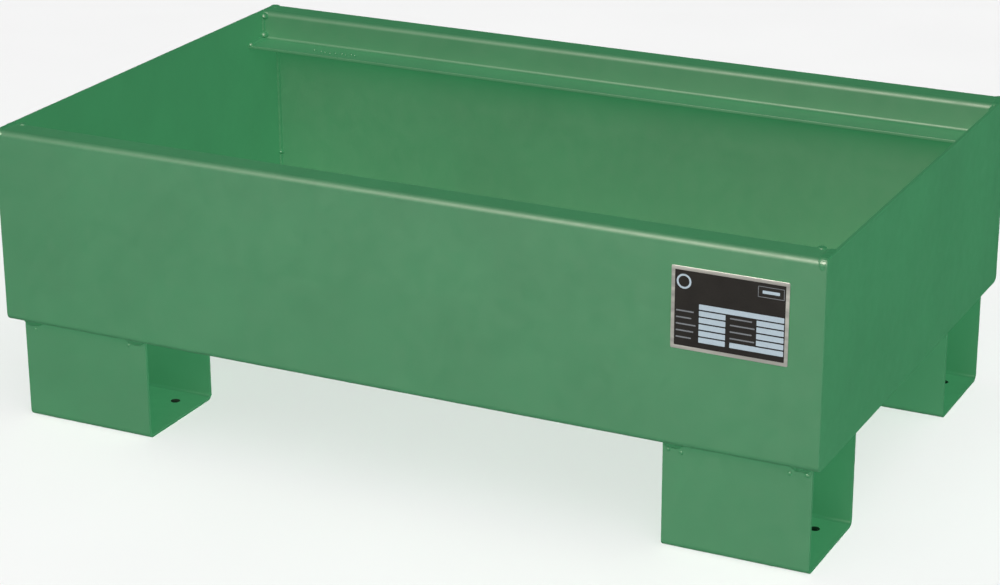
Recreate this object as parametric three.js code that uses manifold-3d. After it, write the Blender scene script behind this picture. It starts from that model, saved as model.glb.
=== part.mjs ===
// Spill containment pallet: a folded and welded sheet steel sump tray on four U feet.
// Millimetres. X runs along the length, -Y is the front with the type plate, +Z is up.
// The origin is on the floor, under the middle of the tray.

import * as THREE from 'three';
import { mergeVertices } from 'three/addons/utils/BufferGeometryUtils.js';
import Module from 'manifold-3d';

// Driving dimensions of the tub
const LENGTH = 800;
const WIDTH = 500;
const TUB_HEIGHT = 185;
const SHEET = 3;
const BEND_INNER = 3;
const FLANGE_WIDTH = 30;
const STEP_DROP = 30;
const LEDGE_WIDTH = 32;

// Driving dimensions of the feet
const FOOT_HEIGHT = 100;
const FOOT_LENGTH = 133;
const FOOT_DEPTH = 108;
const FOOT_INSET_X = 10;
const FOOT_INSET_Y = 14;
const HOLE_DIAMETER = 9;
const HOLE_SPACING_X = 84;
const HOLE_SPACING_Y = 56;

// Type plate, measured from the right end and the top of the tub
const PLATE_WIDTH = 102;
const PLATE_HEIGHT = 72;
const PLATE_THICKNESS = 0.6;
const PLATE_RIGHT = 30;
const PLATE_TOP = 24;
const PLATE_CORNER = 2;

// Welds
const GAP = 0.3;
const STITCH_LENGTH = 20;
const STITCH_LEG = 8;
const SEAM_LEG = 2.6;
const SEAM_TO_LEDGE = 3;
const CAP_WIDTH = 6;
const CAP_HEIGHT = 1.2;
const CAP_OFFSET = 1.5;
const FILLET_BULGE = 1.4;

// Fineness of the round stretches, and of the pan along its length
const BEND_STEPS = 6;
const PAN_BAYS = 5;
const HOLE_SIDES = 24;
const BEAD_ARC_STEPS = 4;

// How a bead grows from its start to its middle and shrinks to its end:
// the share of its length and of its full section
const BEAD_STAGES = [[0, 0.4], [0.08, 0.85], [0.2, 1], [0.8, 1], [0.92, 0.85], [1, 0.4]];

// Derived sizes
const TOP = FOOT_HEIGHT + TUB_HEIGHT;
const BEND_MID = BEND_INNER + SHEET / 2;
const BEND_OUTER = BEND_INNER + SHEET;
const WALL_INNER_X = LENGTH / 2 - SHEET;

const wasm = await Module();
wasm.setup();

const GREEN = { color: 0x528a60, roughness: 0.42, metalness: 0.0 };
const WELD_GREEN = { color: 0x4a8058, roughness: 0.5, metalness: 0.0 };
const ALUMINIUM = { color: 0xc9ccce, roughness: 0.35, metalness: 0.9 };

const pallet = new THREE.Group();

function addPart(parent, name, geometry, look) {
  const mesh = new THREE.Mesh(geometry, new THREE.MeshStandardMaterial(look));
  mesh.name = name;
  parent.add(mesh);
  return mesh;
}

// Walks a polyline along the middle of a sheet and rounds its corners.
// Each station has its place and the unit normal on the left of the walk.
function sheetStations(path, radius, steps) {
  const stations = [];
  for (let i = 0; i < path.length; i += 1) {
    const here = path[i];
    const into = i > 0 ? here.clone().sub(path[i - 1]).normalize() : null;
    const away = i < path.length - 1 ? path[i + 1].clone().sub(here).normalize() : null;
    if (!into || !away) {
      const along = into ?? away;
      stations.push({ at: here.clone(), normal: new THREE.Vector2(-along.y, along.x) });
      continue;
    }
    const turn = Math.atan2(into.cross(away), into.dot(away));
    const side = Math.sign(turn);
    const start = here.clone().addScaledVector(into, -radius * Math.tan(Math.abs(turn) / 2));
    const left = new THREE.Vector2(-into.y, into.x);
    const centre = start.clone().addScaledVector(left, side * radius);
    for (let step = 0; step <= steps; step += 1) {
      const normal = left.clone().rotateAround(new THREE.Vector2(), (turn * step) / steps);
      const at = centre.clone().addScaledVector(normal, -side * radius);
      stations.push({ at, normal });
    }
  }
  return stations;
}

function offsetStation(station, distance) {
  return station.at.clone().addScaledVector(station.normal, distance);
}

// The closed outline of a sheet of even thickness folded along the stations.
function foldedOutline(stations) {
  const left = stations.map((station) => offsetStation(station, SHEET / 2));
  const right = stations.map((station) => offsetStation(station, -SHEET / 2));
  return new THREE.Shape([...left, ...right.reverse()]);
}

// Extrudes a (Y, Z) outline along X, starting at x, in equal bays.
function extrudeAlongX(shape, x, length, bays = 1) {
  const geometry = new THREE.ExtrudeGeometry(shape, {
    depth: length,
    steps: bays,
    bevelEnabled: false,
    curveSegments: BEND_STEPS,
  });
  const basis = new THREE.Matrix4().makeBasis(
    new THREE.Vector3(0, 1, 0),
    new THREE.Vector3(0, 0, 1),
    new THREE.Vector3(1, 0, 0),
  );
  return geometry.applyMatrix4(basis).translate(x, 0, 0);
}

function roundedRectangle(left, bottom, right, top, radius) {
  const shape = new THREE.Shape();
  shape.moveTo(left + radius, bottom);
  shape.lineTo(right - radius, bottom);
  shape.absarc(right - radius, bottom + radius, radius, -Math.PI / 2, 0);
  shape.lineTo(right, top - radius);
  shape.absarc(right - radius, top - radius, radius, 0, Math.PI / 2);
  shape.lineTo(left + radius, top);
  shape.absarc(left + radius, top - radius, radius, Math.PI / 2, Math.PI);
  shape.lineTo(left, bottom + radius);
  shape.absarc(left + radius, bottom + radius, radius, Math.PI, Math.PI * 1.5);
  return shape;
}

function toManifold(geometry) {
  const plain = geometry.clone();
  plain.deleteAttribute('normal');
  plain.deleteAttribute('uv');
  const merged = mergeVertices(plain, 1e-4);
  return new wasm.Manifold(
    new wasm.Mesh({
      numProp: 3,
      vertProperties: new Float32Array(merged.attributes.position.array),
      triVerts: new Uint32Array(merged.index.array),
    }),
  );
}

function fromManifold(solid) {
  const mesh = solid.getMesh();
  const geometry = new THREE.BufferGeometry();
  geometry.setAttribute('position', new THREE.BufferAttribute(mesh.vertProperties, 3));
  geometry.setIndex(new THREE.BufferAttribute(mesh.triVerts, 1));
  return geometry;
}

// A closed body through rings of points, with a flat cap on the first and last ring.
function loft(rings) {
  const sides = rings[0].length;
  const index = [];
  for (let r = 0; r < rings.length - 1; r += 1) {
    for (let s = 0; s < sides; s += 1) {
      const a = r * sides + s;
      const b = r * sides + ((s + 1) % sides);
      index.push(a, b, b + sides, a, b + sides, a + sides);
    }
  }
  const last = (rings.length - 1) * sides;
  for (let s = 1; s < sides - 1; s += 1) {
    index.push(0, s + 1, s);
    index.push(last, last + s, last + s + 1);
  }
  const geometry = new THREE.BufferGeometry();
  geometry.setAttribute(
    'position',
    new THREE.Float32BufferAttribute(rings.flat().flatMap((point) => point.toArray()), 3),
  );
  geometry.setIndex(facesOut(rings, index) ? index : index.reverse());
  return geometry;
}

// True where the triangles of a closed body face away from its inside.
function facesOut(rings, index) {
  const points = rings.flat();
  let sixVolumes = 0;
  for (let i = 0; i < index.length; i += 3) {
    const across = new THREE.Vector3().crossVectors(points[index[i + 1]], points[index[i + 2]]);
    sixVolumes += points[index[i]].dot(across);
  }
  return sixVolumes > 0;
}

// The section of a fillet weld in the corner between two faces that leave
// `corner` along `first` and `second`: flat on both faces, bulging between them.
function filletRing(corner, first, second, leg) {
  const reach = leg - GAP;
  const place = (u, v) =>
    corner.clone().addScaledVector(first, GAP + u * reach).addScaledVector(second, GAP + v * reach);
  const ring = [place(0, 0)];
  for (let step = 0; step <= BEAD_ARC_STEPS; step += 1) {
    const angle = (step / BEAD_ARC_STEPS) * (Math.PI / 2);
    ring.push(place(Math.cos(angle) ** FILLET_BULGE, Math.sin(angle) ** FILLET_BULGE));
  }
  return ring;
}

// A straight fillet weld that tapers at both ends.
function filletWeld(start, direction, length, first, second, leg) {
  return loft(
    BEAD_STAGES.map(([along, size]) => {
      const corner = start.clone().addScaledVector(direction, along * length);
      return filletRing(corner, first, second, leg * size);
    }),
  );
}

// A low rounded bead lying along Y on a horizontal surface.
function capWeld(x, yStart, length, z) {
  return loft(
    BEAD_STAGES.map(([along, size]) => {
      const ring = [];
      for (let step = 0; step <= 2 * BEAD_ARC_STEPS; step += 1) {
        const angle = (step / (2 * BEAD_ARC_STEPS)) * Math.PI;
        const across = (Math.cos(angle) * CAP_WIDTH * size) / 2;
        const high = Math.sin(angle) * CAP_HEIGHT * size;
        ring.push(new THREE.Vector3(x + across, yStart + along * length, z + high));
      }
      return ring;
    }),
  );
}

// ---- Tub ----

// The rim of one wall along the middle of its sheet, from the ledge's free edge
// over the step and the top flange to the wall. side is -1 at the front, 1 at the rear.
function rimPath(side) {
  const half = SHEET / 2;
  const wall = side * (WIDTH / 2 - half);
  const step = side * (WIDTH / 2 - FLANGE_WIDTH + half);
  const ledgeEdge = side * (WIDTH / 2 - FLANGE_WIDTH - LEDGE_WIDTH);
  return [
    new THREE.Vector2(ledgeEdge, TOP - STEP_DROP - half),
    new THREE.Vector2(step, TOP - STEP_DROP - half),
    new THREE.Vector2(step, TOP - half),
    new THREE.Vector2(wall, TOP - half),
    new THREE.Vector2(wall, FOOT_HEIGHT + half),
  ];
}

function buildTub() {
  const tub = new THREE.Group();
  const panPath = [...rimPath(-1), ...rimPath(1).reverse()];
  const panStations = sheetStations(panPath, BEND_MID, BEND_STEPS);
  const panLength = 2 * (WALL_INNER_X - GAP);
  const pan = extrudeAlongX(foldedOutline(panStations), -panLength / 2, panLength, PAN_BAYS);
  addPart(tub, 'tub_pan', pan, GREEN);

  const endOutline = roundedRectangle(
    -WIDTH / 2,
    FOOT_HEIGHT,
    WIDTH / 2,
    TOP,
    BEND_OUTER,
  );
  addPart(tub, 'end_wall_left', extrudeAlongX(endOutline, -LENGTH / 2, SHEET), GREEN);
  addPart(tub, 'end_wall_right', extrudeAlongX(endOutline, WALL_INNER_X, SHEET), GREEN);
  return tub;
}

// ---- Feet ----

// An upright cylinder that runs past both faces of a foot's bottom plate.
function holeTool(x, y) {
  const radius = HOLE_DIAMETER / 2;
  const tool = new THREE.CylinderGeometry(radius, radius, 3 * SHEET, HOLE_SIDES);
  return tool.rotateX(Math.PI / 2).translate(x, y, SHEET / 2);
}

// A U bracket centred on x = 0, y = 0, standing on z = 0 and open at both ends.
function footGeometry() {
  const side = FOOT_DEPTH / 2 - SHEET / 2;
  const path = [
    new THREE.Vector2(-side, FOOT_HEIGHT - GAP),
    new THREE.Vector2(-side, SHEET / 2),
    new THREE.Vector2(side, SHEET / 2),
    new THREE.Vector2(side, FOOT_HEIGHT - GAP),
  ];
  const outline = foldedOutline(sheetStations(path, BEND_MID, BEND_STEPS));
  let bracket = toManifold(extrudeAlongX(outline, -FOOT_LENGTH / 2, FOOT_LENGTH));
  for (const x of [-HOLE_SPACING_X / 2, HOLE_SPACING_X / 2]) {
    for (const y of [-HOLE_SPACING_Y / 2, HOLE_SPACING_Y / 2]) {
      bracket = bracket.subtract(toManifold(holeTool(x, y)));
    }
  }
  return fromManifold(bracket);
}

// The four stitch welds that hold one foot, at both ends of its two upright plates.
function addStitches(foot, name) {
  const along = new THREE.Vector3(1, 0, 0);
  const down = new THREE.Vector3(0, 0, -1);
  for (const [plate, side] of [['front', -1], ['back', 1]]) {
    const out = new THREE.Vector3(0, side, 0);
    for (const [end, x] of [['left', -FOOT_LENGTH / 2], ['right', FOOT_LENGTH / 2 - STITCH_LENGTH]]) {
      const start = new THREE.Vector3(x, side * (FOOT_DEPTH / 2), FOOT_HEIGHT);
      const bead = filletWeld(start, along, STITCH_LENGTH, out, down, STITCH_LEG);
      addPart(foot, `weld_${name}_${plate}_${end}`, bead, WELD_GREEN);
    }
  }
}

function buildFeet() {
  const feet = new THREE.Group();
  const bracket = footGeometry();
  const centreX = LENGTH / 2 - FOOT_INSET_X - FOOT_LENGTH / 2;
  const centreY = WIDTH / 2 - FOOT_INSET_Y - FOOT_DEPTH / 2;
  for (const [row, y] of [['front', -centreY], ['rear', centreY]]) {
    for (const [end, x] of [['left', -centreX], ['right', centreX]]) {
      const foot = new THREE.Group();
      const name = `foot_${row}_${end}`;
      foot.position.set(x, y, 0);
      addPart(foot, name, bracket.clone(), GREEN);
      addStitches(foot, name);
      feet.add(foot);
    }
  }
  return feet;
}

// ---- Welds of the end walls ----

// The inner faces of front wall, floor and rear wall, under the ledges.
function sumpFace() {
  const inner = WIDTH / 2 - SHEET;
  const high = TOP - STEP_DROP - SHEET - SEAM_TO_LEDGE;
  const low = FOOT_HEIGHT + SHEET;
  const path = [
    new THREE.Vector2(-inner, high),
    new THREE.Vector2(-inner, low),
    new THREE.Vector2(inner, low),
    new THREE.Vector2(inner, high),
  ];
  return sheetStations(path, BEND_INNER, BEND_STEPS);
}

// The sealing weld round the inside of an end wall, along the pan's inner faces.
function seamWeld(end) {
  const inward = new THREE.Vector3(-end, 0, 0);
  return loft(
    sumpFace().map(({ at, normal }) => {
      const corner = new THREE.Vector3(end * WALL_INNER_X, at.x, at.y);
      return filletRing(corner, inward, new THREE.Vector3(0, normal.x, normal.y), SEAM_LEG);
    }),
  );
}

// The upright weld between a rim's step and an end wall.
function rimWeld(end, side) {
  const inward = new THREE.Vector3(-end, 0, 0);
  const towardsSump = new THREE.Vector3(0, -side, 0);
  const down = new THREE.Vector3(0, 0, -1);
  const stepY = side * (WIDTH / 2 - FLANGE_WIDTH);
  const start = new THREE.Vector3(end * WALL_INNER_X, stepY, TOP - BEND_OUTER);
  const length = STEP_DROP - BEND_OUTER - BEND_INNER;
  return filletWeld(start, down, length, inward, towardsSump, SEAM_LEG);
}

// The bead over the joint of a top flange with an end wall.
function rimCap(end, side) {
  const flat = FLANGE_WIDTH - 2 * BEND_OUTER;
  const middle = side * (WIDTH / 2 - FLANGE_WIDTH / 2);
  return capWeld(end * (WALL_INNER_X - CAP_OFFSET), middle - flat / 2, flat, TOP + GAP);
}

function buildWallWelds() {
  const welds = new THREE.Group();
  for (const [endName, end] of [['left', -1], ['right', 1]]) {
    addPart(welds, `weld_seam_${endName}`, seamWeld(end), WELD_GREEN);
    for (const [row, side] of [['front', -1], ['rear', 1]]) {
      addPart(welds, `weld_rim_${row}_${endName}`, rimWeld(end, side), WELD_GREEN);
      addPart(welds, `weld_cap_${row}_${endName}`, rimCap(end, side), WELD_GREEN);
    }
  }
  return welds;
}

// ---- Type plate ----

function buildTypePlate() {
  const outline = roundedRectangle(0, 0, PLATE_WIDTH, PLATE_HEIGHT, PLATE_CORNER);
  const geometry = new THREE.ExtrudeGeometry(outline, {
    depth: PLATE_THICKNESS,
    bevelEnabled: false,
    curveSegments: BEND_STEPS,
  });
  const holder = new THREE.Group();
  const plate = addPart(holder, 'type_plate', geometry, ALUMINIUM);
  plate.rotation.x = Math.PI / 2;
  plate.position.set(
    LENGTH / 2 - PLATE_RIGHT - PLATE_WIDTH,
    -WIDTH / 2 - GAP,
    TOP - PLATE_TOP - PLATE_HEIGHT,
  );
  return holder;
}

pallet.add(buildTub(), buildFeet(), buildWallWelds(), buildTypePlate());

export default pallet;
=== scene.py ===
"""Looks of the spill containment pallet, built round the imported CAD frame. Metres, +Z up."""

import math
import random

import bmesh
import bpy
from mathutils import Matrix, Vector, noise


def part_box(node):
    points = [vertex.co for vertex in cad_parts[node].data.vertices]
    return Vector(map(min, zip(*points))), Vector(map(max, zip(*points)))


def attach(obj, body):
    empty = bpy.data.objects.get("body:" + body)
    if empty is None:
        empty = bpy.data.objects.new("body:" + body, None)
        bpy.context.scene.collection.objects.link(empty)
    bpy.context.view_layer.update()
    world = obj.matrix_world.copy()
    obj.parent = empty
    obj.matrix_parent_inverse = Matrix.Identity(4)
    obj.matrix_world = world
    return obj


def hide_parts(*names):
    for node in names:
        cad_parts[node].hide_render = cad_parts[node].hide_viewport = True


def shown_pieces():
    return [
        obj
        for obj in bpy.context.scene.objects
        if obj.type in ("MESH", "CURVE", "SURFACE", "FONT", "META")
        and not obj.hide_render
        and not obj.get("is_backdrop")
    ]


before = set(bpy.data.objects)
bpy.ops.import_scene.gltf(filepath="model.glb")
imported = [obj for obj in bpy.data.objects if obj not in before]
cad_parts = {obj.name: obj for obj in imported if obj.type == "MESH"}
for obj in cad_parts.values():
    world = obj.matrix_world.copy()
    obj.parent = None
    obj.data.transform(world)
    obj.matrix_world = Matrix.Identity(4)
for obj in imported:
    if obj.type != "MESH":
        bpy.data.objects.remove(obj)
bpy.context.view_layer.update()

MM = 0.001

# Sizes that the CAD's boxes do not give
BEND_INNER = 3 * MM
FLANGE = 30 * MM
STEP_DROP = 30 * MM
LEDGE = 32 * MM
HOLE_RADIUS = 4.5 * MM
HOLE_X = 42 * MM
HOLE_Y = 28 * MM

# Sizes that the CAD's boxes do give
PAN_LOW, PAN_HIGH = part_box("tub_pan")
WALL_LOW, WALL_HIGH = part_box("end_wall_right")
PLATE_LOW, PLATE_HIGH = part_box("type_plate")
SHEET = WALL_HIGH.x - WALL_LOW.x
BEND_MID = BEND_INNER + SHEET / 2
BEND_OUTER = BEND_INNER + SHEET
WALL_INNER = WALL_LOW.x
TOP = PAN_HIGH.z
DECK = PAN_LOW.z
HALF_WIDTH = PAN_HIGH.y

PLACES = ("front_left", "front_right", "rear_left", "rear_right")

# How finely the sheets are built
ARC_STEPS = 14
FLAT_STEP = 9 * MM
SLICE = 9 * MM
EDGE_ROUND = 0.6 * MM
WALL_ROUND = 1.1 * MM
WAVE_HEIGHT = 0.16 * MM
WAVE_FADE = 45 * MM
SHARP_ANGLE = math.radians(40)

# The rear beads stop in the outer bend, where their normal leans out this far
REAR_STOP = -0.70

# Weld beads, as legs along the two faces of the corner, or as half width and height
FOOT_BEAD = (6.4 * MM, 7.4 * MM)
SEAM_BEAD = (2.8 * MM, 2.4 * MM)
STEP_BEAD = (2.4 * MM, 2.2 * MM)
LEDGE_BEAD = (4.2 * MM, 2.8 * MM)
CAP_BEAD = (4.1 * MM, 1.0 * MM)
CAP_INSET = 1.4 * MM
WELD_SINK = 0.15 * MM

# Lumps and droplets of weld metal, as radius and height
SEAM_LUMP = (2.6 * MM, 2.6 * MM)
FRONT_LUMP = (3.8 * MM, 1.65 * MM)
REAR_LUMP = (5.2 * MM, 1.6 * MM)
DROPLET_HEIGHT = 1.9 * MM
DROPLETS_START = -324 * MM
DROPLETS_END = -268 * MM

# Roughness and orange peel of the coat on sheet, on weld metal, and of the painted shade in the
# holes
COAT_FINISH = (0.52, 0.14)
WELD_FINISH = (0.42, 0.20)
HOLE_SHADE_FINISH = (0.70, 0.14)

# Studio light
AMBIENT = 0.05
FILL_ELEVATION = 20
FILL_POWER = 1.17
FILL_COUNT = 8
FILL_BACK = 0.16
KEY_POWER = 4
STRIP_POWER = 12
WINDOW_POWER = 290
CARD_GLOW = 0.20
WASH_POWER = 0.85
WASH_SPREAD = 120
HAZE_POWER = 2.3
WARM = (1.0, 0.88, 0.78)

# The lamps that have a size, as place, aim and size
KEY_PLACE, KEY_AIM, KEY_SIZE = (1.3, -1.5, 2.0), (0, 0, 0.2), (1.6, 1.6)
STRIP_PLACE, STRIP_AIM, STRIP_SIZE = (-0.7, -0.9, 2.2), (0, -0.2, 0.28), (2.4, 0.8)
WINDOW_PLACE, WINDOW_AIM, WINDOW_SIZE = (0.1, -2.4, 1.75), (0, 0, 0.2), (1.8, 1.2)

# The floor, the shades on it, and the camera with its turn in degrees
FLOOR_REACH = 40
SHADE_LIFT = 0.05 * MM
CAMERA_LENS = 97.4
CAMERA_PLACE = (1.053, -2.156, 1.014)
CAMERA_TURN = (69.30, 0.19, 26.19)

GREEN = (0.0350, 0.185, 0.077)
WELD_GREEN = (0.0345, 0.190, 0.078)
# Near black, for the walls of the feet's holes: painted shade, not a coat of their own
HOLE_SHADE_GREEN = (0.004, 0.018, 0.008)


# ---- Materials ----


class Nodes:
    """Adds and joins the nodes of one material."""

    def __init__(self, name):
        self.material = bpy.data.materials.new(name)
        self.material.use_nodes = True
        self.tree = self.material.node_tree
        self.shader = self.tree.nodes["Principled BSDF"]
        self.place = self.add("ShaderNodeTexCoord").outputs["Object"]

    def add(self, kind, **inputs):
        made = self.tree.nodes.new(kind)
        for key, value in inputs.items():
            socket = made.inputs[key.replace("_", " ")]
            if isinstance(value, bpy.types.NodeSocket):
                self.tree.links.new(value, socket)
            else:
                socket.default_value = value
        return made

    def noise(self, scale, detail=2.0, stretch=None):
        place = self.place
        if stretch:
            place = self.add("ShaderNodeMapping", Vector=place, Scale=stretch).outputs["Vector"]
        made = self.add("ShaderNodeTexNoise", Vector=place, Scale=scale, Detail=detail)
        return made.outputs["Fac"]

    def between(self, factor, low, high):
        made = self.add("ShaderNodeMapRange", Value=factor)
        made.inputs["From Min"].default_value = 0.3
        made.inputs["From Max"].default_value = 0.7
        made.inputs["To Min"].default_value = low
        made.inputs["To Max"].default_value = high
        return made.outputs["Result"]

    def ramp(self, factor, low, high):
        made = self.add("ShaderNodeValToRGB", Fac=factor)
        first, last = made.color_ramp.elements
        first.position, last.position = 0.3, 0.7
        first.color, last.color = (*low, 1), (*high, 1)
        return made.outputs["Color"]

    def bump(self, height, strength, distance, under=None):
        made = self.add("ShaderNodeBump", Height=height, Strength=strength, Distance=distance)
        if under:
            self.tree.links.new(under, made.inputs["Normal"])
        return made.outputs["Normal"]

    def join(self, socket, name):
        self.tree.links.new(socket, self.shader.inputs[name])


def shade(colour, factor):
    return tuple(channel * factor for channel in colour)


def powder_coat(name, colour, roughness, peel):
    """Semi-gloss powder coat: faint cloudy tone, orange peel and a very fine grain."""
    made = Nodes(name)
    tone = made.ramp(made.noise(14, 3), shade(colour, 0.96), shade(colour, 1.04))
    made.join(tone, "Base Color")
    made.join(made.between(made.noise(70, 3), roughness - 0.03, roughness + 0.04), "Roughness")
    grain = made.bump(made.noise(2600, 2), 0.10, 0.00003)
    made.join(made.bump(made.noise(380, 2), peel, 0.00012, grain), "Normal")
    return made.material


def brushed_aluminium():
    made = Nodes("plate_aluminium")
    streaks = made.noise(240, 4, (0.04, 1, 1))
    made.join(made.ramp(streaks, (0.50, 0.53, 0.52), (0.62, 0.66, 0.64)), "Base Color")
    made.join(made.between(streaks, 0.34, 0.46), "Roughness")
    made.join(made.bump(streaks, 0.15, 0.00003), "Normal")
    made.shader.inputs["Metallic"].default_value = 0.85
    return made.material


def printed(name, low, high, roughness):
    """Anodised print: a near even tone with a fine speckle."""
    made = Nodes(name)
    made.join(made.ramp(made.noise(1500, 3), low, high), "Base Color")
    made.join(made.between(made.noise(90, 2), roughness - 0.04, roughness + 0.04), "Roughness")
    made.join(made.bump(made.noise(1800, 2), 0.08, 0.00002), "Normal")
    made.shader.inputs["Specular IOR Level"].default_value = 0.2
    return made.material


COAT = powder_coat("green_coat", GREEN, *COAT_FINISH)
WELD_COAT = powder_coat("green_coat_on_weld", WELD_GREEN, *WELD_FINISH)
HOLE_SHADE_COAT = powder_coat("painted_shade_in_hole", HOLE_SHADE_GREEN, *HOLE_SHADE_FINISH)
ALUMINIUM = brushed_aluminium()
BLACK_PRINT = printed("plate_black", (0.008, 0.008, 0.007), (0.013, 0.012, 0.011), 0.50)
PALE_PRINT = printed("plate_pale", (0.31, 0.38, 0.43), (0.36, 0.43, 0.48), 0.50)
GREY_PRINT = printed("plate_grey", (0.13, 0.14, 0.15), (0.17, 0.18, 0.19), 0.40)


# ---- Mesh helpers ----


def mesh_piece(name, vertices, faces, material, slot, nodes=(), smooth=True):
    """A closed mesh as a piece of the object, with its faces turned outwards."""
    mesh = bpy.data.meshes.new(name)
    mesh.from_pydata(vertices, [], faces)
    shape = bmesh.new()
    shape.from_mesh(mesh)
    bmesh.ops.recalc_face_normals(shape, faces=shape.faces)
    for face in shape.faces:
        face.smooth = smooth
    shape.to_mesh(mesh)
    shape.free()
    mesh.materials.append(material)
    piece = bpy.data.objects.new(name, mesh)
    bpy.context.scene.collection.objects.link(piece)
    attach(piece, "root")
    if nodes:
        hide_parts(*nodes)
    return piece


def keep_flats(piece):
    """Shades flat faces flat, and sharp edges sharp."""
    piece.data.set_sharp_from_angle(angle=SHARP_ANGLE)
    piece.modifiers.new("normals", "WEIGHTED_NORMAL").keep_sharp = True


def soften(piece, width, segments=3):
    """Rounds the sharp edges and keeps the flats flat in shading."""
    bevel = piece.modifiers.new("edges", "BEVEL")
    bevel.width = width
    bevel.segments = segments
    bevel.limit_method = "ANGLE"
    bevel.angle_limit = SHARP_ANGLE
    piece.modifiers.new("normals", "WEIGHTED_NORMAL").keep_sharp = True


def spread(low, high, step):
    """Evenly spaced values from low to high, no further apart than step."""
    count = max(1, math.ceil(abs(high - low) / step - 1e-6))
    return [low + (high - low) * i / count for i in range(count + 1)]


def stations(path, radius):
    """A sheet's middle line through the (y, z) points of path, with bends of that radius.
    Each station has its point and the unit normal on the left of the walk."""
    made = []

    def straight(start, end):
        along = (end - start).normalized()
        normal = Vector((-along.y, along.x))
        for share in spread(0, 1, FLAT_STEP / (end - start).length):
            made.append((start.lerp(end, share), normal))

    reached = path[0]
    for before, corner, after in zip(path, path[1:], path[2:]):
        into, away = (corner - before).normalized(), (after - corner).normalized()
        turn = math.atan2(into.x * away.y - into.y * away.x, into.dot(away))
        side = math.copysign(1, turn)
        start = corner - into * radius * math.tan(abs(turn) / 2)
        left = Vector((-into.y, into.x))
        centre = start + left * side * radius
        straight(reached, start)
        for step in range(1, ARC_STEPS):
            angle = turn * step / ARC_STEPS
            normal = Vector((
                left.x * math.cos(angle) - left.y * math.sin(angle),
                left.x * math.sin(angle) + left.y * math.cos(angle),
            ))
            made.append((centre - normal * side * radius, normal))
        reached = corner + away * radius * math.tan(abs(turn) / 2)
    straight(reached, path[-1])
    return made


def rounded_ends(line):
    """The stations with their half thickness, which falls away round both free edges."""
    half = SHEET / 2
    turns = [math.pi / 2 * k / 4 for k in range(5)]

    def edge(first, second):
        along = (second[0] - first[0]).normalized()
        return [
            (
                first[0] + along * EDGE_ROUND * (1 - math.cos(turn)),
                first[1],
                half - EDGE_ROUND * (1 - math.sin(turn)),
            )
            for turn in turns
        ]

    middle = [(at, normal, half) for at, normal in line[1:-1]]
    return edge(line[0], line[1]) + middle + edge(line[-1], line[-2])[::-1]


def folded_sheet(name, line, xs, material, slot, nodes, wave=None):
    """A folded sheet: stations of (point, normal, half thickness) swept through xs."""
    count = len(line)
    vertices = []
    for x in xs:
        for side in (1, -1):
            for at, normal, half in line:
                lift = side * half + (wave(x, at) if wave else 0)
                point = at + normal * lift
                vertices.append((x, point.x, point.y))
    faces = []
    ring = 2 * count
    for i in range(len(xs) - 1):
        a, b = i * ring, (i + 1) * ring
        for k in range(count - 1):
            faces.append((a + k, a + k + 1, b + k + 1, b + k))
            faces.append((a + count + k + 1, a + count + k, b + count + k, b + count + k + 1))
        for k in (0, count - 1):
            faces.append((a + k, b + k, b + count + k, a + count + k))
    for start in (0, (len(xs) - 1) * ring):
        for k in range(count - 1):
            faces.append((start + k, start + k + 1, start + count + k + 1, start + count + k))
    return mesh_piece(name, vertices, faces, material, slot, nodes)


def loft(rings):
    """Vertices and faces of a closed body through rings of equally many points."""
    sides = len(rings[0])
    faces = []
    for r in range(len(rings) - 1):
        for s in range(sides):
            a, b = r * sides + s, r * sides + (s + 1) % sides
            faces.append((a, b, b + sides, a + sides))
    faces.append(tuple(range(sides)))
    last = (len(rings) - 1) * sides
    faces.append(tuple(range(last, last + sides)))
    return [point for ring in rings for point in ring], faces


def joined(bodies):
    """Several (vertices, faces) bodies as one."""
    vertices, faces = [], []
    for points, polygons in bodies:
        shift = len(vertices)
        vertices += points
        faces += [tuple(i + shift for i in polygon) for polygon in polygons]
    return vertices, faces


# ---- Tub ----


def rim(side):
    """The middle of the sheet of one rim and wall, from the ledge's free edge to the floor."""
    half = SHEET / 2
    wall = side * (HALF_WIDTH - half)
    step = side * (HALF_WIDTH - FLANGE + half)
    ledge = side * (HALF_WIDTH - FLANGE - LEDGE)
    return [
        Vector((ledge, TOP - STEP_DROP - half)),
        Vector((step, TOP - STEP_DROP - half)),
        Vector((step, TOP - half)),
        Vector((wall, TOP - half)),
        Vector((wall, DECK + half)),
    ]


def sheet_wave(x, at):
    """How far the pan's sheet lies inside its true place, which gives it its faint waviness."""
    to_end = WALL_INNER - abs(x)
    fade = min(1, to_end / WAVE_FADE)
    bulge = noise.noise(Vector((x * 5, at.x * 7, at.y * 7)))
    ripple = noise.noise(Vector((x * 17 + 4, at.x * 15, at.y * 15)))
    return WAVE_HEIGHT * fade * (0.5 + 0.5 * (0.75 * bulge + 0.25 * ripple))


def build_pan():
    line = rounded_ends(stations(rim(-1) + rim(1)[::-1], BEND_MID))
    xs = spread(-WALL_INNER, WALL_INNER, SLICE)
    pan = folded_sheet("pan", line, xs, COAT, "green_powder_coat", ["tub_pan"], sheet_wave)
    keep_flats(pan)


def rounded_outline(low, high, radius, steps):
    """A rounded rectangle in two coordinates, from its low and high corners."""
    points = []
    for corner, start in (((1, 0), -90), ((1, 1), 0), ((0, 1), 90), ((0, 0), 180)):
        centre_x = high[0] - radius if corner[0] else low[0] + radius
        centre_y = high[1] - radius if corner[1] else low[1] + radius
        for step in range(steps + 1):
            angle = math.radians(start + 90 * step / steps)
            x, y = centre_x + radius * math.cos(angle), centre_y + radius * math.sin(angle)
            points.append((x, y))
    return points


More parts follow.
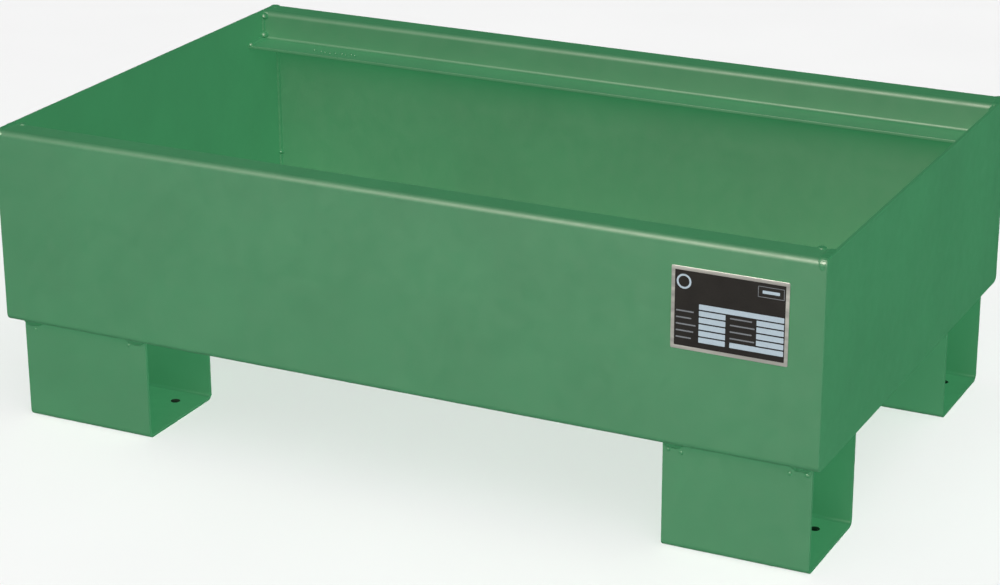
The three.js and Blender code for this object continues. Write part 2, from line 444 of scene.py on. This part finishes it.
def build_end_wall(name, node, end):
    """A flat plate, sharp where it meets the pan and rounded round its outer face."""
    low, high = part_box(node)
    inner, outer = (low.x, high.x) if end > 0 else (high.x, low.x)
    rings = []
    stops = [(inner, 0)]
    for k in range(6):
        angle = math.pi / 2 * k / 5
        stops.append((
            outer - end * WALL_ROUND * (1 - math.sin(angle)), WALL_ROUND * (1 - math.cos(angle))
        ))
    for x, inset in stops:
        outline = rounded_outline(
            (low.y + inset, low.z + inset),
            (high.y - inset, high.z - inset),
            BEND_OUTER - inset,
            ARC_STEPS,
        )
        rings.append([(x, y, z) for y, z in outline])
    wall = mesh_piece(name, *loft(rings), COAT, "green_powder_coat", [node])
    keep_flats(wall)


# ---- Feet ----


def hole_centres(low, high):
    """The middles of the four holes in the bottom plate of a foot with that box."""
    middle = (low + high) / 2
    return [
        (middle.x + x, middle.y + y) for x in (-HOLE_X, HOLE_X) for y in (-HOLE_Y, HOLE_Y)
    ]


def build_foot(name, node):
    low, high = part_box(node)
    inset = SHEET / 2
    path = [
        Vector((low.y + inset, high.z)),
        Vector((low.y + inset, low.z + inset)),
        Vector((high.y - inset, low.z + inset)),
        Vector((high.y - inset, high.z)),
    ]
    line = [(at, normal, SHEET / 2) for at, normal in stations(path, BEND_MID)]
    xs = spread(low.x, high.x, SLICE)
    foot = folded_sheet(name, line, xs, COAT, "green_powder_coat", [node])
    for x, y in hole_centres(low, high):
        cut_hole(foot, x, y, low.z)
    soften(foot, EDGE_ROUND)


def cut_hole(foot, x, y, z):
    """Drills one hole through the bottom plate and leaves no tool behind."""
    drill = bpy.data.meshes.new("drill")
    # The hole's walls take this near-black material, which is painted shade
    drill.materials.append(HOLE_SHADE_COAT)
    shape = bmesh.new()
    bmesh.ops.create_cone(
        shape, cap_ends=True, segments=40, radius1=HOLE_RADIUS, radius2=HOLE_RADIUS, depth=4 * SHEET
    )
    bmesh.ops.translate(shape, vec=(x, y, z + SHEET / 2), verts=shape.verts)
    shape.to_mesh(drill)
    shape.free()
    tool = bpy.data.objects.new("drill", drill)
    bpy.context.scene.collection.objects.link(tool)
    cut = foot.modifiers.new("hole", "BOOLEAN")
    cut.operation = "DIFFERENCE"
    cut.solver = "EXACT"
    cut.material_mode = "TRANSFER"
    cut.object = tool
    graph = bpy.context.evaluated_depsgraph_get()
    graph.update()
    mesh = bpy.data.meshes.new_from_object(foot.evaluated_get(graph))
    foot.modifiers.remove(cut)
    foot.data = mesh
    bpy.data.objects.remove(tool)


# ---- Welds ----


def bead_rings(spine, legs, seed, pitch=1.5 * MM, taper=3 * MM):
    """Rings of a rippled fillet bead. Each stop of the spine is (corner, first, second, distance):
    the bead lies in the corner between two faces that leave it along first and second."""
    length = spine[-1][3]
    rings = []
    for corner, first, second, distance in spine:
        to_end = min(distance, length - distance)
        full = 0.35 + 0.65 * math.sqrt(min(1, max(0, to_end) / taper))
        drift = 1 + 0.16 * noise.noise(Vector((distance * 160, seed * 7.3, 0)))
        ring = [corner - (first + second) * 0.3 * MM]
        for k in range(9):
            angle = math.pi / 2 * k / 8
            crescent = math.sin(2 * angle)
            phase = distance / pitch - 0.7 * crescent
            ripple = 0.5 + 0.5 * math.sin(2 * math.pi * phase)
            scale = full * (drift + 0.07 * crescent * ripple)
            out = math.cos(angle) ** 1.35 * legs[0] * scale
            up = math.sin(angle) ** 1.35 * legs[1] * scale
            ring.append(corner + first * out + second * up)
        rings.append([tuple(point) for point in ring])
    return rings


def straight_spine(start, along, length, first, second, step=0.35 * MM):
    return [(start + along * d, first, second, d) for d in spread(0, length, step)]


def blob(at, normal, radius, height, seed):
    """A small round lump of weld metal lying on a face."""
    across = normal.orthogonal().normalized()
    other = normal.cross(across)
    rings = []
    for row in range(6):
        angle = math.pi / 2 * row / 6
        ring = []
        for k in range(16):
            turn = 2 * math.pi * k / 16
            uneven = 1 + 0.12 * noise.noise(Vector((math.cos(turn), math.sin(turn), seed * 3.1)))
            out = radius * math.cos(angle) * uneven
            point = at + (across * math.cos(turn) + other * math.sin(turn)) * out
            ring.append(tuple(point + normal * (height * math.sin(angle) - WELD_SINK)))
        rings.append(ring)
    return loft(rings)


def build_foot_welds():
    """The stitch welds at both ends of each foot's two upright plates."""
    seed = 1
    for row in ("front", "rear"):
        for end in ("left", "right"):
            for plate, side in (("front", -1), ("back", 1)):
                for stitch in ("left", "right"):
                    node = f"weld_foot_{row}_{end}_{plate}_{stitch}"
                    low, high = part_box(node)
                    foot_low, foot_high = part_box(f"foot_{row}_{end}")
                    face = foot_low.y if side < 0 else foot_high.y
                    spine = straight_spine(
                        Vector((low.x, face, DECK)),
                        Vector((1, 0, 0)),
                        high.x - low.x,
                        Vector((0, side, 0)),
                        Vector((0, 0, -1)),
                    )
                    bodies = [loft(bead_rings(spine, FOOT_BEAD, seed, taper=6 * MM))]
                    bodies += spatter(spine, side, seed)
                    mesh_piece(
                        f"bead_foot_{row}_{end}_{plate}_{stitch}",
                        *joined(bodies), WELD_COAT, "coated_weld", [node],
                    )
                    seed += 1


def spatter(spine, side, seed):
    """A few droplets on the foot's plate below a stitch."""
    draw = random.Random(seed)
    start, end = spine[0][0], spine[-1][0]
    drops = []
    for number in range(draw.randint(1, 3)):
        x = draw.uniform(start.x, end.x)
        z = DECK - draw.uniform(8, 12) * MM
        size = draw.uniform(1.5, 2.4) * MM
        at = Vector((x, start.y, z))
        drops.append(blob(at, Vector((0, side, 0)), size, size * 0.55, seed + number))
    return drops


def sump_spine(end):
    """Round the inside of an end wall, down the front wall, over the floor and up the rear wall."""
    inner = HALF_WIDTH - SHEET
    high = TOP - STEP_DROP - SHEET
    low = DECK + SHEET
    path = [
        Vector((-inner, high)),
        Vector((-inner, low)),
        Vector((inner, low)),
        Vector((inner, high)),
    ]
    inward = Vector((-end, 0, 0))
    spine, distance, before = [], 0, None
    for at, normal in finer(stations(path, BEND_INNER), 0.7 * MM):
        if before is not None:
            distance += (at - before).length
        before = at
        corner = Vector((end * WALL_INNER, at.x, at.y))
        spine.append((corner, inward, Vector((0, normal.x, normal.y)), distance))
    return spine


def finer(line, step):
    """The same stations with more of them between, no further apart than step."""
    made = [line[0]]
    for (at, normal), (next_at, next_normal) in zip(line, line[1:]):
        gap = (next_at - at).length
        if gap < 1e-7:
            continue
        for share in spread(0, 1, step / gap)[1:]:
            made.append((at.lerp(next_at, share), normal.lerp(next_normal, share).normalized()))
    return made


def surface_bead(spine, half_width, height, seed):
    """A lumpy bead lying on a surface. Each stop of the spine is (point, normal, distance)."""
    length = spine[-1][2]
    rings = []
    for at, normal, distance in spine:
        to_end = min(distance, length - distance)
        full = 0.25 + 0.75 * math.sqrt(min(1, max(0, to_end) / (3 * MM)))
        lumps = 1 + 0.6 * noise.noise(Vector((distance * 210, seed * 5.7, 2)))
        wide = 1 + 0.35 * noise.noise(Vector((distance * 170, seed * 3.3, 5)))
        ripple = 1 + 0.10 * math.sin(2 * math.pi * distance / (1.7 * MM))
        ring = []
        for k in range(13):
            angle = math.pi * k / 12
            out = math.cos(angle) * half_width * full * min(1, 0.85 * wide)
            up = math.sin(angle) * height * full * min(1, 0.85 * lumps * ripple)
            ring.append(tuple(at + Vector((out, 0, 0)) + normal * (up - WELD_SINK)))
        rings.append(ring)
    return loft(rings)


def rim_spine(x, side):
    """Over a rim at its joint with an end wall: up the wall, over the flange, down the step."""
    inner = HALF_WIDTH - FLANGE
    path = [
        Vector((-HALF_WIDTH, TOP - 9.5 * MM)),
        Vector((-HALF_WIDTH, TOP)),
        Vector((-inner, TOP)),
        Vector((-inner, TOP - 9 * MM)),
    ]
    spine, distance, before = [], 0, None
    for at, normal in finer(stations(path, BEND_OUTER), 0.4 * MM):
        if side > 0 and normal.x < REAR_STOP:
            continue
        if before is not None:
            distance += (at - before).length
        before = at
        point = Vector((x, -side * at.x, at.y))
        spine.append((point, Vector((0, -side * normal.x, normal.y)), distance))
    return spine


def build_wall_welds():
    seed = 60
    for name, end in (("left", -1), ("right", 1)):
        build_seam(name, end, seed)
        for row, side in (("front", -1), ("rear", 1)):
            build_rim_bead(name, end, row, side, seed + 1)
            build_cap(name, end, row, side, seed + 2)
            seed += 10


def build_seam(name, end, seed):
    """The sealing bead inside an end wall, with a lump low in its rear corner."""
    bodies = [loft(bead_rings(sump_spine(end), SEAM_BEAD, seed, 2.2 * MM))]
    lump = Vector((end * (WALL_INNER - 1.6 * MM), HALF_WIDTH - SHEET - 1.6 * MM, DECK + 22 * MM))
    bodies.append(blob(lump, Vector((-end, -1, 0.3)).normalized(), *SEAM_LUMP, seed))
    mesh_piece(
        f"bead_seam_{name}", *joined(bodies), WELD_COAT, "coated_weld", [f"weld_seam_{name}"]
    )


def build_rim_bead(name, end, row, side, seed):
    """The bead between a rim and an end wall: down the step and out along the ledge."""
    inward, towards = Vector((-end, 0, 0)), Vector((0, -side, 0))
    up = Vector((0, 0, 1))
    corner = Vector((end * WALL_INNER, side * (HALF_WIDTH - FLANGE), TOP - STEP_DROP))
    length = STEP_DROP - 4 * MM
    down = straight_spine(corner + up * length, -up, length, inward, towards)
    across = straight_spine(corner, towards, LEDGE - 1 * MM, inward, up)
    bodies = [
        loft(bead_rings(down, STEP_BEAD, seed)),
        loft(bead_rings(across, LEDGE_BEAD, seed + 1)),
    ]
    lean = (inward + towards + up).normalized()
    lumps = [
        (corner + inward * 3.2 * MM + towards * 1.6 * MM + up * (STEP_DROP - 5 * MM), lean, 3.7),
        (corner + inward * 2.6 * MM + towards * 2.2 * MM + up * 5 * MM, lean, 4.0),
        (corner + inward * 3.0 * MM + towards * (LEDGE - 2.5 * MM) + up * 0.8 * MM, lean, 3.4),
    ]
    for number, (at, normal, size) in enumerate(lumps):
        bodies.append(blob(at, normal, size * MM, 0.7 * size * MM, seed + number))
    mesh_piece(
        f"bead_rim_{row}_{name}",
        *joined(bodies), WELD_COAT, "coated_weld", [f"weld_rim_{row}_{name}"],
    )


def build_cap(name, end, row, side, seed):
    """The bead over the joint of a rim with its end wall, with a lump beside it at the front and
    on it at the rear. The rear left one also carries the droplets on the ledge."""
    x = end * (WALL_INNER - CAP_INSET)
    bodies = [surface_bead(rim_spine(x, side), *CAP_BEAD, seed)]
    if side < 0:
        at = Vector((end * (WALL_INNER - 11 * MM), side * (HALF_WIDTH - 26 * MM), TOP - 0.1 * MM))
        bodies.append(blob(at, Vector((0, 0, 1)), *FRONT_LUMP, seed))
    else:
        at = Vector((end * (WALL_INNER - 2.8 * MM), HALF_WIDTH - 9 * MM, TOP))
        bodies.append(blob(at, Vector((0, 0, 1)), *REAR_LUMP, seed))
    if side > 0 and end < 0:
        draw = random.Random(seed)
        x = DROPLETS_START
        while x < DROPLETS_END:
            at = Vector((x, HALF_WIDTH - FLANGE - draw.uniform(18, 23) * MM, TOP - STEP_DROP))
            size = draw.uniform(0.9, 1.7) * MM
            bodies.append(blob(at, Vector((0, 0, 1)), size, DROPLET_HEIGHT, seed))
            x += draw.uniform(3, 9) * MM
    mesh_piece(
        f"bead_cap_{row}_{name}",
        *joined(bodies), WELD_COAT, "coated_weld", [f"weld_cap_{row}_{name}"],
    )


# ---- Type plate ----


def slab(left, top, width, height, front, thickness, radius=0.4 * MM):
    """A thin panel on the type plate, placed from the plate's left and top edges."""
    x, z = PLATE_LOW.x + left, PLATE_HIGH.z - top
    outline = rounded_outline((x, z - height), (x + width, z), radius, 4)
    return loft([[(px, y, pz) for px, pz in outline] for y in (front, front + thickness)])


def ring_mark(left, top, outer, inner, front, thickness):
    """A plain ring that stands where a maker's sign would be."""
    centre_x, centre_z = PLATE_LOW.x + left + outer, PLATE_HIGH.z - top - outer
    count = 48
    vertices, faces = [], []
    for radius in (outer, inner):
        for y in (front, front + thickness):
            for k in range(count):
                angle = 2 * math.pi * k / count
                x, z = centre_x + radius * math.cos(angle), centre_z + radius * math.sin(angle)
                vertices.append((x, y, z))
    loops = [0, count, 3 * count, 2 * count]
    for this, following in zip(loops, loops[1:] + loops[:1]):
        for k in range(count):
            n = (k + 1) % count
            faces.append((this + k, this + n, following + n, following + k))
    return vertices, faces


def build_type_plate():
    front = PLATE_LOW.y
    width, height = PLATE_HIGH.x - PLATE_LOW.x, PLATE_HIGH.z - PLATE_LOW.z
    relief = 0.12 * MM
    base = slab(0, 0, width, height, front + relief, PLATE_HIGH.y - front - relief, 1.2 * MM)
    plate = mesh_piece("plate_base", *base, ALUMINIUM, "type_plate", ["type_plate"])
    soften(plate, 0.15 * MM)

    border = 3.2 * MM
    ground = slab(
        border, border, width - 2 * border, height - 2 * border, front + 0.06 * MM, 0.1 * MM
    )
    mesh_piece("plate_ground", *ground, BLACK_PRINT, "type_plate", smooth=False)

    row_pitch, field_height = 5.75 * MM, 4.5 * MM
    column_left, column_middle, column_right = 24.7 * MM, 51.7 * MM, 74.6 * MM
    right_edge = 98 * MM
    first_row = 30.5 * MM
    fields = [(column_left, first_row, right_edge - column_left)]
    bars = []
    for row in range(1, 6):
        top = first_row + row * row_pitch
        fields.append((column_left, top, 23.1 * MM))
        bars.append((4.7 * MM, top, (17.3 - 1.9 * (row % 3)) * MM))
        if row < 5:
            fields.append((column_right, top, right_edge - column_right))
            bars.append((column_middle, top, (21.3 - 2.3 * (row % 2)) * MM))
        else:
            fields.append((column_middle, top, right_edge - column_middle))
    bodies = [slab(left, top, w, field_height, front, relief) for left, top, w in fields]
    mesh_piece("plate_fields", *joined(bodies), PALE_PRINT, "type_plate", smooth=False)

    bodies = [slab(left, top + 1.5 * MM, w, 1.2 * MM, front, relief) for left, top, w in bars]
    left, top, box_width, box_height, line = 75 * MM, 6.2 * MM, 22.6 * MM, 9.4 * MM, 0.5 * MM
    bodies += [
        slab(left, top, box_width, line, front, relief, 0.1 * MM),
        slab(left, top + box_height - line, box_width, line, front, relief, 0.1 * MM),
        slab(left, top, line, box_height, front, relief, 0.1 * MM),
        slab(left + box_width - line, top, line, box_height, front, relief, 0.1 * MM),
    ]
    mesh_piece("plate_captions", *joined(bodies), GREY_PRINT, "type_plate", smooth=False)

    bodies = [
        ring_mark(4.7 * MM, 6.4 * MM, 6.4 * MM, 4.8 * MM, front, relief),
        slab(left + 4 * MM, top + 3.4 * MM, box_width - 8 * MM, 2.6 * MM, front, relief),
    ]
    mesh_piece("plate_marks", *joined(bodies), PALE_PRINT, "type_plate", smooth=False)


# ---- Stage ----


def plain_mesh(name, vertices, material):
    mesh = bpy.data.meshes.new(name)
    mesh.from_pydata(vertices, [], [tuple(range(len(vertices)))])
    mesh.materials.append(material)
    made = bpy.data.objects.new(name, mesh)
    bpy.context.scene.collection.objects.link(made)
    made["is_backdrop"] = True
    return made


def build_floor():
    made = Nodes("studio_floor")
    made.join(made.ramp(made.noise(3, 2), (0.86, 0.86, 0.86), (0.88, 0.88, 0.88)), "Base Color")
    made.shader.inputs["Roughness"].default_value = 1.0
    made.shader.inputs["Specular IOR Level"].default_value = 0.0
    corners = [
        (side_x * FLOOR_REACH, side_y * FLOOR_REACH, 0)
        for side_x, side_y in ((-1, -1), (1, -1), (1, 1), (-1, 1))
    ]
    floor = plain_mesh("floor", corners, made.material)
    floor.visible_glossy = False


def build_shades():
    """The floor seen through the feet's holes, which lies in deep shade."""
    made = Nodes("shaded_floor")
    tone = made.ramp(made.noise(3, 2), (0.004, 0.012, 0.006), (0.006, 0.018, 0.009))
    made.join(tone, "Base Color")
    made.shader.inputs["Specular IOR Level"].default_value = 0.0
    for place in PLACES:
        low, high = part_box(f"foot_{place}")
        for x, y in hole_centres(low, high):
            outline = []
            for k in range(24):
                turn = 2 * math.pi * k / 24
                at_x, at_y = x + HOLE_RADIUS * math.cos(turn), y + HOLE_RADIUS * math.sin(turn)
                outline.append((at_x, at_y, SHADE_LIFT))
            plain_mesh("shade", outline, made.material)


def build_card(name, corners, strength):
    """A bright card that shows only in the coat's reflections."""
    made = bpy.data.materials.new(name)
    made.use_nodes = True
    tree = made.node_tree
    tree.nodes.clear()
    glow = tree.nodes.new("ShaderNodeEmission")
    glow.inputs["Strength"].default_value = strength
    glow.inputs["Color"].default_value = (*WARM, 1)
    output = tree.nodes.new("ShaderNodeOutputMaterial")
    tree.links.new(glow.outputs["Emission"], output.inputs["Surface"])
    made.cycles.emission_sampling = "NONE"
    card = plain_mesh(name, corners, made)
    card.visible_camera = False
    card.visible_diffuse = False
    card.visible_shadow = False


def lamp(name, kind, at, towards, power, size=None):
    data = bpy.data.lights.new(name, kind)
    data.energy = power
    if size:
        data.shape = "RECTANGLE"
        data.size, data.size_y = size
    made = bpy.data.objects.new(name, data)
    made.location = at
    made.rotation_euler = (Vector(towards) - Vector(at)).to_track_quat("-Z", "Y").to_euler()
    bpy.context.scene.collection.objects.link(made)
    return made


def build_light():
    world = bpy.data.worlds.new("studio")
    world.use_nodes = True
    world.node_tree.nodes["Background"].inputs["Color"].default_value = (1, 1, 1, 1)
    world.node_tree.nodes["Background"].inputs["Strength"].default_value = AMBIENT
    world.cycles_visibility.glossy = False
    bpy.context.scene.world = world

    lit = bpy.data.collections.new("lit_by_fill")
    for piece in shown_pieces():
        lit.objects.link(piece)
    for number in range(FILL_COUNT):
        turn = 2 * math.pi * (number + 0.5) / FILL_COUNT
        at = (math.sin(turn), -math.cos(turn), math.tan(math.radians(FILL_ELEVATION)))
        power = FILL_POWER * (1 - FILL_BACK * math.cos(turn))
        fill = lamp(f"fill_{number}", "SUN", at, (0, 0, 0), power)
        fill.data.use_shadow = False
        fill.visible_glossy = False
        fill.light_linking.receiver_collection = lit

    for_floor = bpy.data.collections.new("lit_by_wash")
    for_floor.objects.link(bpy.data.objects["floor"])
    wash = lamp("floor_wash", "SUN", (0.3, -0.2, 1), (0, 0, 0), WASH_POWER)
    wash.data.angle = math.radians(WASH_SPREAD)
    haze = lamp("floor_haze", "SUN", (0, 0, 1), (0, 0, 0), HAZE_POWER)
    haze.data.use_shadow = False
    for light in (wash, haze):
        light.light_linking.receiver_collection = for_floor
        light.visible_glossy = False

    key = lamp("key", "AREA", KEY_PLACE, KEY_AIM, KEY_POWER, KEY_SIZE)
    key.visible_glossy = False
    strip = lamp("strip", "AREA", STRIP_PLACE, STRIP_AIM, STRIP_POWER, STRIP_SIZE)
    strip.visible_diffuse = False
    strip.data.color = WARM
    window = lamp("window", "AREA", WINDOW_PLACE, WINDOW_AIM, WINDOW_POWER, WINDOW_SIZE)
    window.visible_diffuse = False
    window.data.color = WARM
    card = [(-7, -8, -2), (0.3, -8, -2), (0.3, -0.8, -2), (-7, -0.8, -2)]
    build_card("card_front", card, CARD_GLOW)
    bpy.context.scene.view_settings.view_transform = "Standard"


def build_camera():
    lens = bpy.data.cameras.new("camera")
    lens.lens = CAMERA_LENS
    lens.sensor_width = 36
    camera = bpy.data.objects.new("camera", lens)
    camera.location = CAMERA_PLACE
    camera.rotation_euler = [math.radians(angle) for angle in CAMERA_TURN]
    bpy.context.scene.collection.objects.link(camera)
    bpy.context.scene.camera = camera


build_camera()
build_pan()
build_end_wall("wall_left", "end_wall_left", -1)
build_end_wall("wall_right", "end_wall_right", 1)
for place in PLACES:
    build_foot(f"bracket_{place}", f"foot_{place}")
build_foot_welds()
build_wall_welds()
build_type_plate()
build_floor()
build_shades()
build_light()
